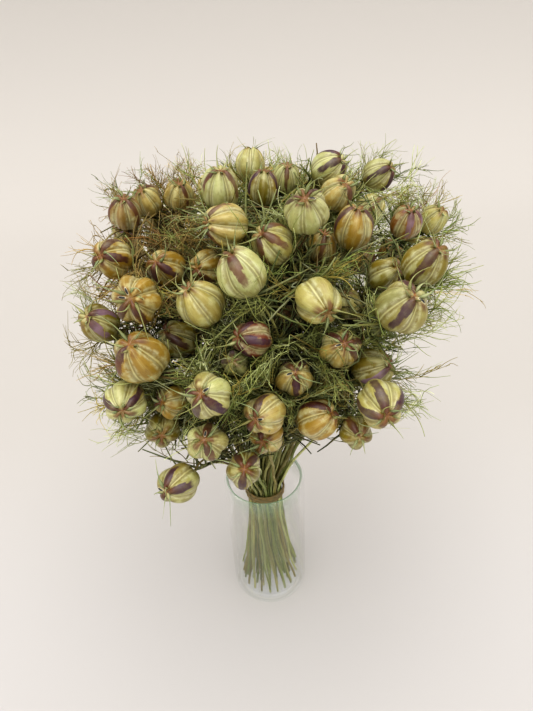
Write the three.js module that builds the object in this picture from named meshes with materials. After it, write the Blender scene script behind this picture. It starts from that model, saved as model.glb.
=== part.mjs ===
// A tied bunch of dried love-in-a-mist (Nigella) seed pods standing in a clear glass cylinder vase.
// Millimetres, +Z up, the origin on the middle of the vase's underside, -Y towards the viewer.
// Each sprig is one grown piece: a cut stem that swells into a seed pod with a tuft of styles on top.

import * as THREE from 'three';

// Glass vase
const VASE_HEIGHT = 156;
const VASE_RADIUS = 38.5;
const WALL = 4.6;
const FLOOR_THICKNESS = 9;
const UNDERSIDE_RADIUS = 29;
const HEEL_ROUND = 9.5;
const INNER_ROUND = 5;
const VASE_SIDES = 40;

// Rubber band round the stems
const TIE_LOW = 134;
const TIE_HIGH = 146;
const BAND_HEIGHT = 9;
const BAND_THICKNESS = 1.6;
const BAND_CLEARANCE = 0.6;
const BAND_SIDES = 40;

// Stems
const STEM_RADIUS = 1.3;
const STEM_SIDES = 6;
const STEM_PITCH = 3.9;
const RINGS_AT_TIE = [1, 6, 12, 18, 21];
const CUT_END_LIFT = 0.8;
const FOOT_SPREAD = 1.85;
const FOOT_TWIST = THREE.MathUtils.degToRad(28);
const FREE_STEPS = 8;
const NECK_LENGTH = 6;

// Clearances that keep every sprig a separate piece
const STEM_GAP = 0.7;
const POD_GAP = 0.9;
const SETTLE_ROUNDS = 220;
const SETTLE_SMOOTHING = 0.3;

// Pod shape: places along the pod's axis and radii there, both as shares of the pod's own radius
const POD_PROFILE = [
  [-1.02, 0.3],
  [-0.72, 0.76],
  [-0.1, 1.0],
  [0.5, 0.86],
  [0.92, 0.42],
];
const STYLE_TUFT_LENGTH = 6;
const STYLE_TUFT_RADIUS = 2.2;
const POD_REACH = 1.04;

// How the bunch is arranged. Each row is one pod: how far right, how far back and how high its middle
// stands, its width, how far its crown leans from upright, and the compass heading of that lean, where
// 0 faces the viewer and 90 faces right.
const PODS = [
  // the top of the dome
  [-15, -22, 432, 25, 15, 20],
  [12, -1, 425, 22, 6, 90],
  [29, 29, 423, 20, 20, 15],
  [4, 46, 430, 22, 25, 170],
  [-11, -61, 422, 24, 75, -62],
  [15, -69, 412, 24, 44, -57],
  [-2, -97, 408, 27, 28, -90],
  [34, -73, 431, 25, 37, -12],
  [59, -18, 424, 23, 45, 30],
  [56, 4, 434, 23, 55, 66],
  [64, -50, 412, 25, 10, 70],
  [47, -36, 396, 22, 20, 30],
  // the right side
  [92, 14, 426, 22, 55, 60],
  [103, -26, 405, 22, 22, 20],
  [132, 8, 394, 20, 35, 45],
  [95, -95, 407, 25, 32, 50],
  [78, -118, 393, 26, 36, 38],
  [84, -62, 386, 22, 46, 40],
  [71, -98, 342, 24, 60, 64],
  // the front, down the middle
  [38, -100, 390, 26, 100, 20],
  [63, -48, 360, 21, 20, -60],
  [50, -105, 362, 23, 43, 8],
  [24, -107, 345, 22, 36, 0],
  [24, -52, 353, 21, 60, 10],
  [1, -106, 372, 21, 64, -58],
  [-10, -104, 355, 16, 48, -5],
  // the left side
  [-27, -94, 389, 26, 28, -70],
  [-28, -55, 394, 22, 72, -30],
  [-47, -58, 396, 23, 48, -30],
  [-59, -102, 398, 26, 62, 0],
  [-77, -68, 408, 23, 60, -25],
  [-87, -88, 377, 23, 42, -30],
  [-59, -116, 370, 28, 28, -30],
  [-45, -78, 358, 23, 46, -52],
  [-82, -2, 414, 23, 18, 20],
  [-72, 30, 412, 22, 30, -20],
  [-50, 32, 414, 22, 28, 20],
  // the lower front
  [-72, -120, 344, 24, 80, 5],
  [-49, -108, 333, 20, 58, -34],
  [-23, -135, 357, 25, 50, -18],
  [-57, -108, 312, 22, 70, 5],
  [-28, -132, 322, 23, 42, 0],
  [6, -127, 336, 24, 72, -32],
  [5, -121, 312, 21, 72, -18],
  [-7, -134, 303, 22, 46, 4],
  [36, -118, 322, 24, 50, 66],
  [68, -132, 343, 26, 84, 6],
  [59, -119, 312, 20, 68, 4],
  [-47, -137, 295, 24, 72, -30],
  // the back
  [60, 62, 412, 24, 38, 130],
  [18, 84, 406, 25, 40, 165],
  [-28, 76, 406, 24, 42, -160],
  [-76, 66, 390, 23, 52, -130],
  [98, 62, 386, 24, 52, 120],
  [48, 106, 372, 25, 62, 155],
  [-10, 112, 372, 24, 64, -175],
  [-58, 98, 354, 23, 66, -150],
  [84, 98, 340, 23, 68, 138],
];

// Finishes
const GLASS = { color: 0xdfe8e2, roughness: 0.05, metalness: 0, transparent: true, opacity: 0.35 };
const RUBBER = { color: 0xb59a68, roughness: 0.6, metalness: 0 };
const DRIED_SPRIG = { color: 0x9a9452, roughness: 0.6, metalness: 0 };

const UP = new THREE.Vector3(0, 0, 1);

// A unit vector that leans from upright towards a compass heading.
function leaning(tiltDegrees, headingDegrees) {
  const tilt = THREE.MathUtils.degToRad(tiltDegrees);
  const heading = THREE.MathUtils.degToRad(headingDegrees);
  const outward = Math.sin(tilt);
  return new THREE.Vector3(outward * Math.sin(heading), -outward * Math.cos(heading), Math.cos(tilt));
}

// Points along a quarter of a circle, from one angle to another, as [radius, height] pairs.
function quarterRound(centreRadius, centreHeight, round, fromDegrees, toDegrees, steps) {
  const points = [];
  for (let step = 0; step <= steps; step += 1) {
    const degrees = THREE.MathUtils.lerp(fromDegrees, toDegrees, step / steps);
    const angle = THREE.MathUtils.degToRad(degrees);
    points.push([centreRadius + round * Math.cos(angle), centreHeight + round * Math.sin(angle)]);
  }
  return points;
}

// A thick-walled cylinder, open at the top, with a rounded heel and a rounded lip.
function vaseGeometry() {
  const innerRadius = VASE_RADIUS - WALL;
  const lipRound = WALL / 2;
  const outline = [
    [0, 0],
    [UNDERSIDE_RADIUS, 0],
    ...quarterRound(VASE_RADIUS - HEEL_ROUND, HEEL_ROUND, HEEL_ROUND, -70, 0, 4),
    ...quarterRound(VASE_RADIUS - lipRound, VASE_HEIGHT - lipRound, lipRound, 0, 180, 6),
    ...quarterRound(innerRadius - INNER_ROUND, FLOOR_THICKNESS + INNER_ROUND, INNER_ROUND, 0, -90, 3),
    [0, FLOOR_THICKNESS],
  ];
  const profile = outline.map(([radius, height]) => new THREE.Vector2(radius, height));
  return standUp(new THREE.LatheGeometry(profile, VASE_SIDES));
}

// A flat ring of rubber that closes on itself.
function bandGeometry() {
  const outermostRing = RINGS_AT_TIE.length - 1;
  const inner = outermostRing * STEM_PITCH + STEM_RADIUS + BAND_CLEARANCE;
  const outer = inner + BAND_THICKNESS;
  const low = (TIE_LOW + TIE_HIGH - BAND_HEIGHT) / 2;
  const high = low + BAND_HEIGHT;
  const outline = [[inner, low], [outer, low], [outer, high], [inner, high], [inner, low]];
  const profile = outline.map(([radius, height]) => new THREE.Vector2(radius, height));
  return standUp(new THREE.LatheGeometry(profile, BAND_SIDES));
}

// three.js turns a lathe about Y; this stands it on +Z.
function standUp(geometry) {
  geometry.rotateX(Math.PI / 2);
  return geometry;
}

// The places where the stems cross the tie: one in the middle and closed rings of them round it.
function placesAtTie() {
  return RINGS_AT_TIE.map((count, ring) => {
    const places = [];
    for (let index = 0; index < count; index += 1) {
      const angle = (2 * Math.PI * index) / count;
      places.push(new THREE.Vector2(Math.cos(angle), Math.sin(angle)).multiplyScalar(ring * STEM_PITCH));
    }
    return places;
  });
}

// Gives each pod its place at the tie, so that stems spread apart and don't cross: the pods that lean
// least are in the middle, and each ring keeps the order of its pods round the bunch.
function shareOutPlaces(pods) {
  const tieHeight = TIE_HIGH;
  const spread = pods.map((pod) => {
    const rise = pod.middle.z - tieHeight;
    return new THREE.Vector2(pod.middle.x / rise, pod.middle.y / rise);
  });
  const centre = spread.reduce((sum, point) => sum.add(point), new THREE.Vector2());
  centre.divideScalar(spread.length);
  const offsets = spread.map((point) => point.clone().sub(centre));
  const order = pods.map((pod, index) => index);
  order.sort((a, b) => offsets[a].length() - offsets[b].length());
  let taken = 0;
  for (const places of placesAtTie()) {
    const ring = order.slice(taken, taken + places.length);
    ring.sort((a, b) => offsets[a].angle() - offsets[b].angle());
    const turn = bestTurn(ring.map((index) => offsets[index].angle()), places.map((place) => place.angle()));
    ring.forEach((index, position) => {
      pods[index].place = places[(position + turn) % places.length];
    });
    taken += places.length;
  }
}

// How many places to turn one ring by, so that its stems run out in the directions of their pods.
function bestTurn(wanted, offered) {
  let best = 0;
  let bestFit = -Infinity;
  for (let turn = 0; turn < offered.length; turn += 1) {
    const fit = wanted.reduce(
      (sum, angle, index) => sum + Math.cos(angle - offered[(index + turn) % offered.length]),
      0,
    );
    if (fit > bestFit) {
      best = turn;
      bestFit = fit;
    }
  }
  return best;
}

// The balls that stand for a pod and for its tuft of styles while the bunch settles.
function ballsOf(pod) {
  const radius = pod.width / 2;
  const tuft = pod.middle.clone().addScaledVector(pod.axis, radius * POD_REACH + STYLE_TUFT_LENGTH / 2);
  return [
    { at: pod.middle, radius: radius * POD_REACH },
    { at: tuft, radius: STYLE_TUFT_LENGTH / 2 },
  ];
}

// Moves pods that touch apart, each by half of what is missing.
function partPods(pods) {
  for (let round = 0; round < SETTLE_ROUNDS; round += 1) {
    for (let one = 0; one < pods.length; one += 1) {
      for (let two = one + 1; two < pods.length; two += 1) {
        partTwoPods(pods[one], pods[two]);
      }
    }
  }
}

function partTwoPods(one, two) {
  for (const a of ballsOf(one)) {
    for (const b of ballsOf(two)) {
      const away = a.at.clone().sub(b.at);
      const missing = a.radius + b.radius + POD_GAP - away.length();
      if (missing > 0) {
        away.setLength(missing / 2);
        one.middle.add(away);
        two.middle.sub(away);
      }
    }
  }
}

// The part of a stem from its cut end up to the tie: it stands splayed on the vase's floor.
function footOf(place) {
  const heights = [FLOOR_THICKNESS + CUT_END_LIFT, 50, 92, TIE_LOW];
  return heights.map((height) => {
    const drop = (TIE_LOW - height) / (TIE_LOW - FLOOR_THICKNESS);
    const flat = place.clone().multiplyScalar(1 + (FOOT_SPREAD - 1) * drop * drop);
    flat.rotateAround(new THREE.Vector2(), FOOT_TWIST * drop);
    return new THREE.Vector3(flat.x, flat.y, height);
  });
}

// The free part of a stem, from the tie to the neck under its pod: one smooth bend.
function freeRun(pod) {
  const start = new THREE.Vector3(pod.place.x, pod.place.y, TIE_HIGH);
  const podBase = pod.middle.clone().addScaledVector(pod.axis, (pod.width / 2) * POD_PROFILE[0][0]);
  const neck = podBase.clone().addScaledVector(pod.axis, -NECK_LENGTH);
  const length = neck.distanceTo(start);
  const outward = neck.clone().sub(start).normalize();
  const leaving = outward.clone().lerp(UP, 0.35).normalize();
  const bend = new THREE.CubicBezierCurve3(
    start,
    start.clone().addScaledVector(leaving, length * 0.3),
    neck.clone().addScaledVector(pod.axis, -length * 0.2),
    neck,
  );
  return bend.getPoints(FREE_STEPS);
}

// The closest points of two straight pieces, as the vector from the second to the first and how far
// along each piece they lie.
function closestApproach(a, b, c, d) {
  const ab = b.clone().sub(a);
  const cd = d.clone().sub(c);
  const ca = a.clone().sub(c);
  const abab = ab.dot(ab);
  const cdcd = cd.dot(cd);
  const abcd = ab.dot(cd);
  const denominator = abab * cdcd - abcd * abcd;
  let along = 0;
  if (denominator > 1e-9) {
    along = THREE.MathUtils.clamp((abcd * cd.dot(ca) - ab.dot(ca) * cdcd) / denominator, 0, 1);
  }
  const across = THREE.MathUtils.clamp((abcd * along + cd.dot(ca)) / cdcd, 0, 1);
  along = THREE.MathUtils.clamp((abcd * across - ab.dot(ca)) / abab, 0, 1);
  const apart = ca.addScaledVector(ab, along).addScaledVector(cd, -across);
  return { apart, along, across };
}

// Shifts the two ends of a piece of stem, each by its share; the ends at the tie and the neck stay.
function shiftPiece(run, piece, along, shift) {
  const last = run.length - 1;
  if (piece > 0) run[piece].addScaledVector(shift, 1 - along);
  if (piece + 1 < last) run[piece + 1].addScaledVector(shift, along);
}

// Pushes two stems apart wherever they come too close.
function partTwoStems(one, two) {
  const wanted = 2 * STEM_RADIUS + STEM_GAP;
  for (let i = 0; i + 1 < one.length; i += 1) {
    for (let j = 0; j + 1 < two.length; j += 1) {
      const reach = one[i].distanceTo(one[i + 1]) + two[j].distanceTo(two[j + 1]) + wanted;
      if (one[i].distanceTo(two[j]) < reach) {
        const near = closestApproach(one[i], one[i + 1], two[j], two[j + 1]);
        const missing = wanted - near.apart.length();
        if (missing > 0) {
          near.apart.setLength(missing / 2);
          shiftPiece(one, i, near.along, near.apart);
          shiftPiece(two, j, near.across, near.apart.negate());
        }
      }
    }
  }
}

// Pushes a stem out of another sprig's pod.
function partStemAndPod(run, pod) {
  for (const ball of ballsOf(pod)) {
    const wanted = ball.radius + STEM_RADIUS + STEM_GAP;
    for (let i = 0; i + 1 < run.length; i += 1) {
      const piece = new THREE.Line3(run[i], run[i + 1]);
      const along = piece.closestPointToPointParameter(ball.at, true);
      const apart = piece.at(along, new THREE.Vector3()).sub(ball.at);
      const missing = wanted - apart.length();
      if (missing > 0) shiftPiece(run, i, along, apart.setLength(missing));
    }
  }
}

// Spreads each stem's shifts along it, so that a pushed stem bows and doesn't kink.
function smoothShifts(run, drawn) {
  const shifts = run.map((point, index) => point.clone().sub(drawn[index]));
  for (let index = 1; index + 1 < run.length; index += 1) {
    const even = shifts[index - 1].clone().add(shifts[index + 1]).multiplyScalar(0.5);
    run[index].addScaledVector(even.sub(shifts[index]), SETTLE_SMOOTHING);
  }
}

// Lets the free runs settle between each other and round the pods.
function settleStems(pods, runs) {
  const drawn = runs.map((run) => run.map((point) => point.clone()));
  for (let round = 0; round < SETTLE_ROUNDS; round += 1) {
    runs.forEach((run, index) => smoothShifts(run, drawn[index]));
    for (let one = 0; one < runs.length; one += 1) {
      for (let two = one + 1; two < runs.length; two += 1) partTwoStems(runs[one], runs[two]);
      pods.forEach((pod, index) => {
        if (index !== one) partStemAndPod(runs[one], pod);
      });
    }
  }
}

// A sprig's centre line with its radius at each point: foot, free run, pod and style tuft.
function stationsOf(pod, run) {
  const radius = pod.width / 2;
  const stem = [...footOf(pod.place), ...run].map((at) => ({ at, radius: STEM_RADIUS }));
  const fruit = POD_PROFILE.map(([along, share]) => ({
    at: pod.middle.clone().addScaledVector(pod.axis, along * radius),
    radius: share * radius,
  }));
  const tip = fruit[fruit.length - 1].at.clone().addScaledVector(pod.axis, STYLE_TUFT_LENGTH);
  return [...stem, ...fruit, { at: tip, radius: STYLE_TUFT_RADIUS }];
}

// Carries a ring of points along the stations: a closed cylinder whose rings are moved into place.
function sweptGeometry(stations) {
  const steps = stations.length - 1;
  const geometry = new THREE.CylinderGeometry(1, 1, 1, STEM_SIDES, steps);
  const frames = framesAlong(stations.map((station) => station.at));
  const position = geometry.attributes.position;
  const point = new THREE.Vector3();
  for (let index = 0; index < position.count; index += 1) {
    point.fromBufferAttribute(position, index);
    const step = Math.round((point.y + 0.5) * steps);
    const { at, radius } = stations[step];
    const { side, other } = frames[step];
    const moved = at.clone();
    moved.addScaledVector(side, point.x * radius);
    moved.addScaledVector(other, -point.z * radius);
    position.setXYZ(index, moved.x, moved.y, moved.z);
  }
  geometry.computeVertexNormals();
  return geometry;
}

// Two cross directions at each point of a line, carried along it without twist.
function framesAlong(points) {
  let side = new THREE.Vector3(1, 0, 0);
  return points.map((point, index) => {
    const before = points[Math.max(index - 1, 0)];
    const after = points[Math.min(index + 1, points.length - 1)];
    const along = index === 0 ? UP.clone() : after.clone().sub(before).normalize();
    side = side.clone().addScaledVector(along, -side.dot(along)).normalize();
    return { side, other: along.clone().cross(side) };
  });
}

function namedMesh(name, geometry, finish) {
  const mesh = new THREE.Mesh(geometry, new THREE.MeshStandardMaterial(finish));
  mesh.name = name;
  return mesh;
}

const pods = PODS.map(([right, back, up, width, tilt, heading]) => ({
  middle: new THREE.Vector3(right, back, up),
  axis: leaning(tilt, heading),
  width,
}));
partPods(pods);
shareOutPlaces(pods);
const runs = pods.map(freeRun);
settleStems(pods, runs);

const bunch = new THREE.Group();
bunch.add(namedMesh('glass_vase', vaseGeometry(), GLASS));
bunch.add(namedMesh('rubber_band', bandGeometry(), RUBBER));
pods.forEach((pod, index) => {
  const name = `sprig_${String(index + 1).padStart(2, '0')}`;
  bunch.add(namedMesh(name, sweptGeometry(stationsOf(pod, runs[index])), DRIED_SPRIG));
});

export default bunch;
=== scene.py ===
# A tied bunch of dried love-in-a-mist seed pods in a clear glass cylinder vase.
# Metres throughout. Pods, stems and threads are worked out from the frame's own sprigs, and smaller
# pods on side branches are added to them.
import math

import bpy
import numpy as np
from mathutils import Matrix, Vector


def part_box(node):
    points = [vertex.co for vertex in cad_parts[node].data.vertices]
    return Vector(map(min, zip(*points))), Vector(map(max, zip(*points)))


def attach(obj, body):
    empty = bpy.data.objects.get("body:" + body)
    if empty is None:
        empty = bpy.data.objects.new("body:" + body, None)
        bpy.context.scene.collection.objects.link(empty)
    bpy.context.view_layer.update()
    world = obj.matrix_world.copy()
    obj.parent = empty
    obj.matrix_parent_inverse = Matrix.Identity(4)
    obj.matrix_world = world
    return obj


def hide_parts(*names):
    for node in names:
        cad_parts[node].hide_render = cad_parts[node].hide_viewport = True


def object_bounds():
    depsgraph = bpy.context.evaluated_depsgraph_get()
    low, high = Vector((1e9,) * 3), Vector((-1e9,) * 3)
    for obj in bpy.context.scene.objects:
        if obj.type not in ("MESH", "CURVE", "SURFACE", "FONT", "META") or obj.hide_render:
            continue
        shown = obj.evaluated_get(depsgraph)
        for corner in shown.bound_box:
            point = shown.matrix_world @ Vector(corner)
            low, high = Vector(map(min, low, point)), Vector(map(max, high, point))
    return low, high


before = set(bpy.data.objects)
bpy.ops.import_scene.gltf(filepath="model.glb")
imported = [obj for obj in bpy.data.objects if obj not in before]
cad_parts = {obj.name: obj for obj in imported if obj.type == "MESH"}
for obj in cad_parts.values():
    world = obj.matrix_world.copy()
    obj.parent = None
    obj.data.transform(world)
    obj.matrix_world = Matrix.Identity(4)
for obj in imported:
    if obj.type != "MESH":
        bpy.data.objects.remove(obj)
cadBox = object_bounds()
mm = 0.001
print("frame loaded:", len(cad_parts), "nodes")


class Wire:
    # wraps a socket, so that shader maths reads as an expression
    def __init__(self, shader, socket):
        self.shader = shader
        self.socket = socket

    def maths(self, operation, first, second):
        node = self.shader.node("ShaderNodeMath", {"operation": operation}, {0: first, 1: second})
        return Wire(self.shader, node.outputs[0])

    def __add__(self, other):
        return self.maths("ADD", self, other)

    def __radd__(self, other):
        return self.maths("ADD", other, self)

    def __sub__(self, other):
        return self.maths("SUBTRACT", self, other)

    def __rsub__(self, other):
        return self.maths("SUBTRACT", other, self)

    def __mul__(self, other):
        return self.maths("MULTIPLY", self, other)

    def __rmul__(self, other):
        return self.maths("MULTIPLY", other, self)


class Shader:
    # one material; node() takes a node's type, then its settings, then its sockets
    def __init__(self, name, holder=None):
        self.material = holder or bpy.data.materials.new(name)
        self.material.use_nodes = True
        self.tree = self.material.node_tree
        self.tree.nodes.clear()

    def node(self, kind, settings=None, sockets=None):
        made = self.tree.nodes.new(kind)
        for key, value in (settings or {}).items():
            setattr(made, key, value)
        for key, value in (sockets or {}).items():
            if isinstance(value, Wire):
                self.tree.links.new(value.socket, made.inputs[key])
            else:
                made.inputs[key].default_value = value
        return made

    def wire(self, node, output):
        return Wire(self, node.outputs[output])

    def attribute(self, name):
        return self.wire(self.node("ShaderNodeAttribute", {"attribute_name": name}), "Vector")

    def parts(self, vector):
        split = self.node("ShaderNodeSeparateXYZ", None, {0: vector})
        return [self.wire(split, axis) for axis in range(3)]

    def step(self, value, low, high):
        # 0 below low, 1 above high, smooth between; low may be the larger
        settings = {"interpolation_type": "SMOOTHSTEP"}
        node = self.node("ShaderNodeMapRange", settings, {"Value": value, 1: low, 2: high})
        return self.wire(node, "Result")

    def noise(self, vector, scale, detail, roughness=0.5):
        sockets = {"Vector": vector, "Scale": scale, "Detail": detail, "Roughness": roughness}
        return self.wire(self.node("ShaderNodeTexNoise", None, sockets), 0)

    def stretched(self, vector, scale, turn=0.0):
        sockets = {"Vector": vector, "Scale": scale, "Rotation": (0, 0, turn)}
        return self.wire(self.node("ShaderNodeMapping", None, sockets), 0)

    def mix(self, factor, first, second, blend="MIX"):
        settings = {"data_type": "RGBA", "blend_type": blend}
        node = self.node("ShaderNodeMix", settings, {0: factor, 6: first, 7: second})
        return self.wire(node, 2)

    def over(self, factor, colour, tone, blend="MIX"):
        # a display colour, the tone, laid over a colour
        return self.mix(factor, colour, opaque(paint(*tone)), blend)

    def bump(self, height, strength, distance):
        sockets = {"Height": height, "Strength": strength, "Distance": distance}
        return self.wire(self.node("ShaderNodeBump", None, sockets), 0)

    def finish(self, **sockets):
        named = {key.replace("_", " "): value for key, value in sockets.items()}
        surface = self.node("ShaderNodeBsdfPrincipled", None, named)
        output = self.node("ShaderNodeOutputMaterial")
        self.tree.links.new(surface.outputs[0], output.inputs[0])
        return self.material


def paint(red, green, blue):
    # a display colour, 0 to 255, as the linear colour that the shaders use
    share = np.array([red, green, blue]) / 255
    linear = np.where(share <= 0.04045, share / 12.92, ((share + 0.055) / 1.055) ** 2.4)
    return tuple(float(part) for part in linear)


def opaque(colour):
    return (*colour, 1.0)


def unit(vectors):
    return vectors / np.maximum(np.linalg.norm(vectors, axis=-1, keepdims=True), 1e-12)


def smoothStep(value, low, high):
    share = np.clip((value - low) / (high - low), 0, 1)
    return share * share * (3 - 2 * share)


def added(name, data):
    made = bpy.data.objects.new(name, data)
    bpy.context.scene.collection.objects.link(made)
    return made


class Surface:
    # gathers grids of points, their faces and their values, and makes one mesh of them
    def __init__(self):
        self.points, self.faces, self.values, self.mapping, self.count = [], [], {}, [], 0

    def add(self, points, faces, mapping, **values):
        self.points.append(points.reshape(-1, 3))
        for face in faces:
            self.faces.append(face + self.count)
        self.mapping += [corner.reshape(-1, 2) for corner in mapping]
        for key, value in values.items():
            self.values.setdefault(key, []).append(value.reshape(len(self.points[-1]), -1))
        self.count += len(self.points[-1])

    def make(self, name, material):
        points = np.concatenate(self.points)
        corners = np.concatenate([face.reshape(-1) for face in self.faces])
        sizes = np.concatenate([np.full(len(face), face.shape[1]) for face in self.faces])
        mesh = bpy.data.meshes.new(name)
        mesh.vertices.add(len(points))
        mesh.vertices.foreach_set("co", points.astype(np.float32).ravel())
        mesh.loops.add(len(corners))
        mesh.loops.foreach_set("vertex_index", corners.astype(np.int32))
        mesh.polygons.add(len(sizes))
        mesh.polygons.foreach_set("loop_start", (np.cumsum(sizes) - sizes).astype(np.int32))
        mesh.polygons.foreach_set("use_smooth", np.ones(len(sizes), bool))
        mesh.uv_layers.new(name="along")
        flat = np.concatenate(self.mapping).astype(np.float32)
        mesh.uv_layers["along"].data.foreach_set("uv", flat.ravel())
        for key, value in self.values.items():
            layer = mesh.attributes.new(key, "FLOAT_VECTOR", "POINT")
            layer.data.foreach_set("vector", np.concatenate(value).astype(np.float32).ravel())
        mesh.update()
        mesh.validate()
        mesh.materials.append(material)
        return added(name, mesh)


def roundFaces(count, rows, columns):
    # faces and mapping of count tubes, each of rows rings with columns points, closed round
    tube = np.arange(count)[:, None, None] * rows * columns
    row = np.arange(rows - 1)[None, :, None]
    column = np.arange(columns)[None, None, :]
    first = tube + row * columns + column
    second = tube + row * columns + (column + 1) % columns
    quads = np.stack([first, second, second + columns, first + columns], -1).reshape(-1, 4)
    left = np.broadcast_to(column / columns, first.shape)
    low = np.broadcast_to(row / (rows - 1), first.shape)
    right = left + 1 / columns
    high = low + 1 / (rows - 1)
    corners = [(left, low), (right, low), (right, high), (left, high)]
    mapping = np.stack([np.stack(corner, -1) for corner in corners], -2)
    return quads, mapping.reshape(-1, 4, 2)


def endFaces(count, rows, columns):
    # one face over each end of each tube
    tube = np.arange(count)[:, None] * rows * columns
    column = np.arange(columns)[None, :]
    low = tube + column[:, ::-1]
    high = tube + (rows - 1) * columns + column
    ends = np.concatenate([low, high])
    mapping = np.zeros((len(ends), columns, 2))
    mapping[len(low):, :, 1] = 1
    return ends, mapping


def tubes(surface, lines, radii, sides, normals, flat=1.0, **values):
    # lines (tubes, points, 3) carried as rings: each ring is the line's point plus a circle of the
    # radius there, spanned by the tube's normal and the cross product of that normal and the line;
    # flat squeezes the circle along the normal
    count, rows = lines.shape[:2]
    along = unit(np.gradient(lines, axis=1))
    across = unit(np.broadcast_to(normals[:, None], lines.shape))
    across = unit(across - along * (across * along).sum(-1, keepdims=True))
    other = np.cross(along, across)
    turn = (np.arange(sides) * 2 * math.pi / sides)[:, None]
    circle = across[:, :, None] * np.cos(turn) * flat + other[:, :, None] * np.sin(turn)
    points = lines[:, :, None] + circle * radii[:, :, None, None]
    sideFaces, sideMapping = roundFaces(count, rows, sides)
    caps, capMapping = endFaces(count, rows, sides)
    spread = {}
    for key, value in values.items():
        spread[key] = np.broadcast_to(value[:, :, None], (count, rows, sides, 3)).reshape(-1, 3)
    surface.add(points, [sideFaces, caps], [sideMapping, capMapping], **spread)


def through(knots, count):
    # a smooth line through knots: a Catmull-Rom curve, each stretch a cubic of its four nearest knots
    ends = np.concatenate([2 * knots[:1] - knots[1:2], knots, 2 * knots[-1:] - knots[-2:-1]])
    place = np.linspace(0, len(knots) - 1, count)
    stretch = np.minimum(place.astype(int), len(knots) - 2)
    share = (place - stretch)[:, None]
    a, b, c, d = (ends[stretch + step] for step in range(4))
    return 0.5 * (2 * b + (c - a) * share + (2 * a - 5 * b + 4 * c - d) * share ** 2
                  + (3 * b - a - 3 * c + d) * share ** 3)


weldWithin = 1e-5  # corners closer together than this are one
footBand = 0.02 * mm  # how far over its lowest point a sprig's first ring may reach


def ringsOf(node):
    # climbs a sprig's solid ring by ring from its lowest points, and gives each ring's middle and radius
    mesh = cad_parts[node].data
    places = np.empty(len(mesh.vertices) * 3)
    mesh.vertices.foreach_get("co", places)
    places = places.reshape(-1, 3)
    mesh.calc_loop_triangles()
    triangles = np.empty(len(mesh.loop_triangles) * 3, int)
    mesh.loop_triangles.foreach_get("vertices", triangles)
    welded = np.round(places / weldWithin)
    _, first, merged = np.unique(welded, axis=0, return_index=True, return_inverse=True)
    merged = merged.ravel()
    places = places[first]
    triangles = merged[triangles].reshape(-1, 3)
    layer = places[:, 2] < places[:, 2].min() + footBand
    seen = layer.copy()
    middles, radii = [], []
    while layer.sum() > 2:
        middle = places[layer].mean(0)
        middles.append(middle)
        radii.append(np.linalg.norm(places[layer] - middle, axis=1).max())
        touched = np.zeros(len(places), bool)
        touched[triangles[layer[triangles].any(1)].ravel()] = True
        layer = touched & ~seen
        seen |= layer
    return np.array(middles), np.array(radii)


podRings = 6  # a sprig's last rings: five round its pod, then the tip of its tuft of styles
sprigs = []
for node in sorted(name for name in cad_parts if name.startswith("sprig_")):
    middles, radii = ringsOf(node)
    base, crown = middles[-podRings], middles[-2]
    axis = unit(crown - base)
    radius = float(radii[-podRings:].max())
    sprigs.append({"node": node, "stem": middles[:-podRings + 1], "axis": axis, "radius": radius,
                   "middle": base + axis * radius * 1.02, "stemRadius": float(radii[3])})
print("sprigs read:", len(sprigs), "rings each:", len(middles))

# small pods on side branches: right, back and up in millimetres, width, tilt from upright and
# heading in degrees (0 to the front, 90 to the right), then a look as in podKinds
sidePods = [
    ((-75, 87, 366), 21, 50, 0, ("rust", "brown", 6, 0, (0,))),
    ((-94, 34, 388), 18, 60, -60, ("olive", "lilac", 5, 0, (0, 1))),
    ((-35, -12, 326), 19, 20, 150, ("grey", "brown", 6, 0, ())),
    ((-56, -13, 337), 18, 60, -30, ("grey", "lilac", 5, 0, (0, 1, 4))),
    ((82, 7, 368), 21, 40, 60, ("brown", "brown", 5, 0, (1,))),
    ((0, -36, 305), 18, 60, 10, ("olive", "brown", 5, 0, ())),
    ((-49, -29, 309), 18, 50, -20, ("beige", "maroon", 5, 0, (0, 2))),
    ((44, -22, 317), 19, 60, 0, ("olive", "brown", 5, 0, ())),
    ((45, -40, 295), 17, 60, 20, ("beige", "maroon", 5, 0, (1,))),
    ((23, -8, 345), 19, 50, 0, ("ochre", "maroon", 5, 0, (1, 3))),
    ((65, -44, 290), 16, 60, 20, ("olive", "brown", 5, 0, ())),
    ((-22, -31, 313), 16, 60, 0, ("brown", "brown", 5, 0, (0,))),
    ((104, 10, 372), 18, 60, 40, ("rust", "brown", 5, 0, (1,))),
    ((17, 56, 388), 20, 30, 0, ("olive", "purple", 6, 0, (1,))),
]


def turnedAxis(tilt, heading):
    tilt, heading = math.radians(tilt), math.radians(heading)
    level = math.sin(tilt)
    return np.array([level * math.sin(heading), -level * math.cos(heading), math.cos(tilt)])


pods = [{"name": "pod_" + sprig["node"][-2:], "middle": sprig["middle"], "axis": sprig["axis"],
         "radius": sprig["radius"]} for sprig in sprigs]
for place, width, tilt, heading, _ in sidePods:
    pods.append({"name": f"side_pod_{len(pods) - len(sprigs) + 1:02d}", "middle": np.array(place) * mm,
                 "axis": turnedAxis(tilt, heading), "radius": width / 2 * mm})
podMiddles = np.array([pod["middle"] for pod in pods])
podRadii = np.array([pod["radius"] for pod in pods])
podAxes = np.array([pod["axis"] for pod in pods])


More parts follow.
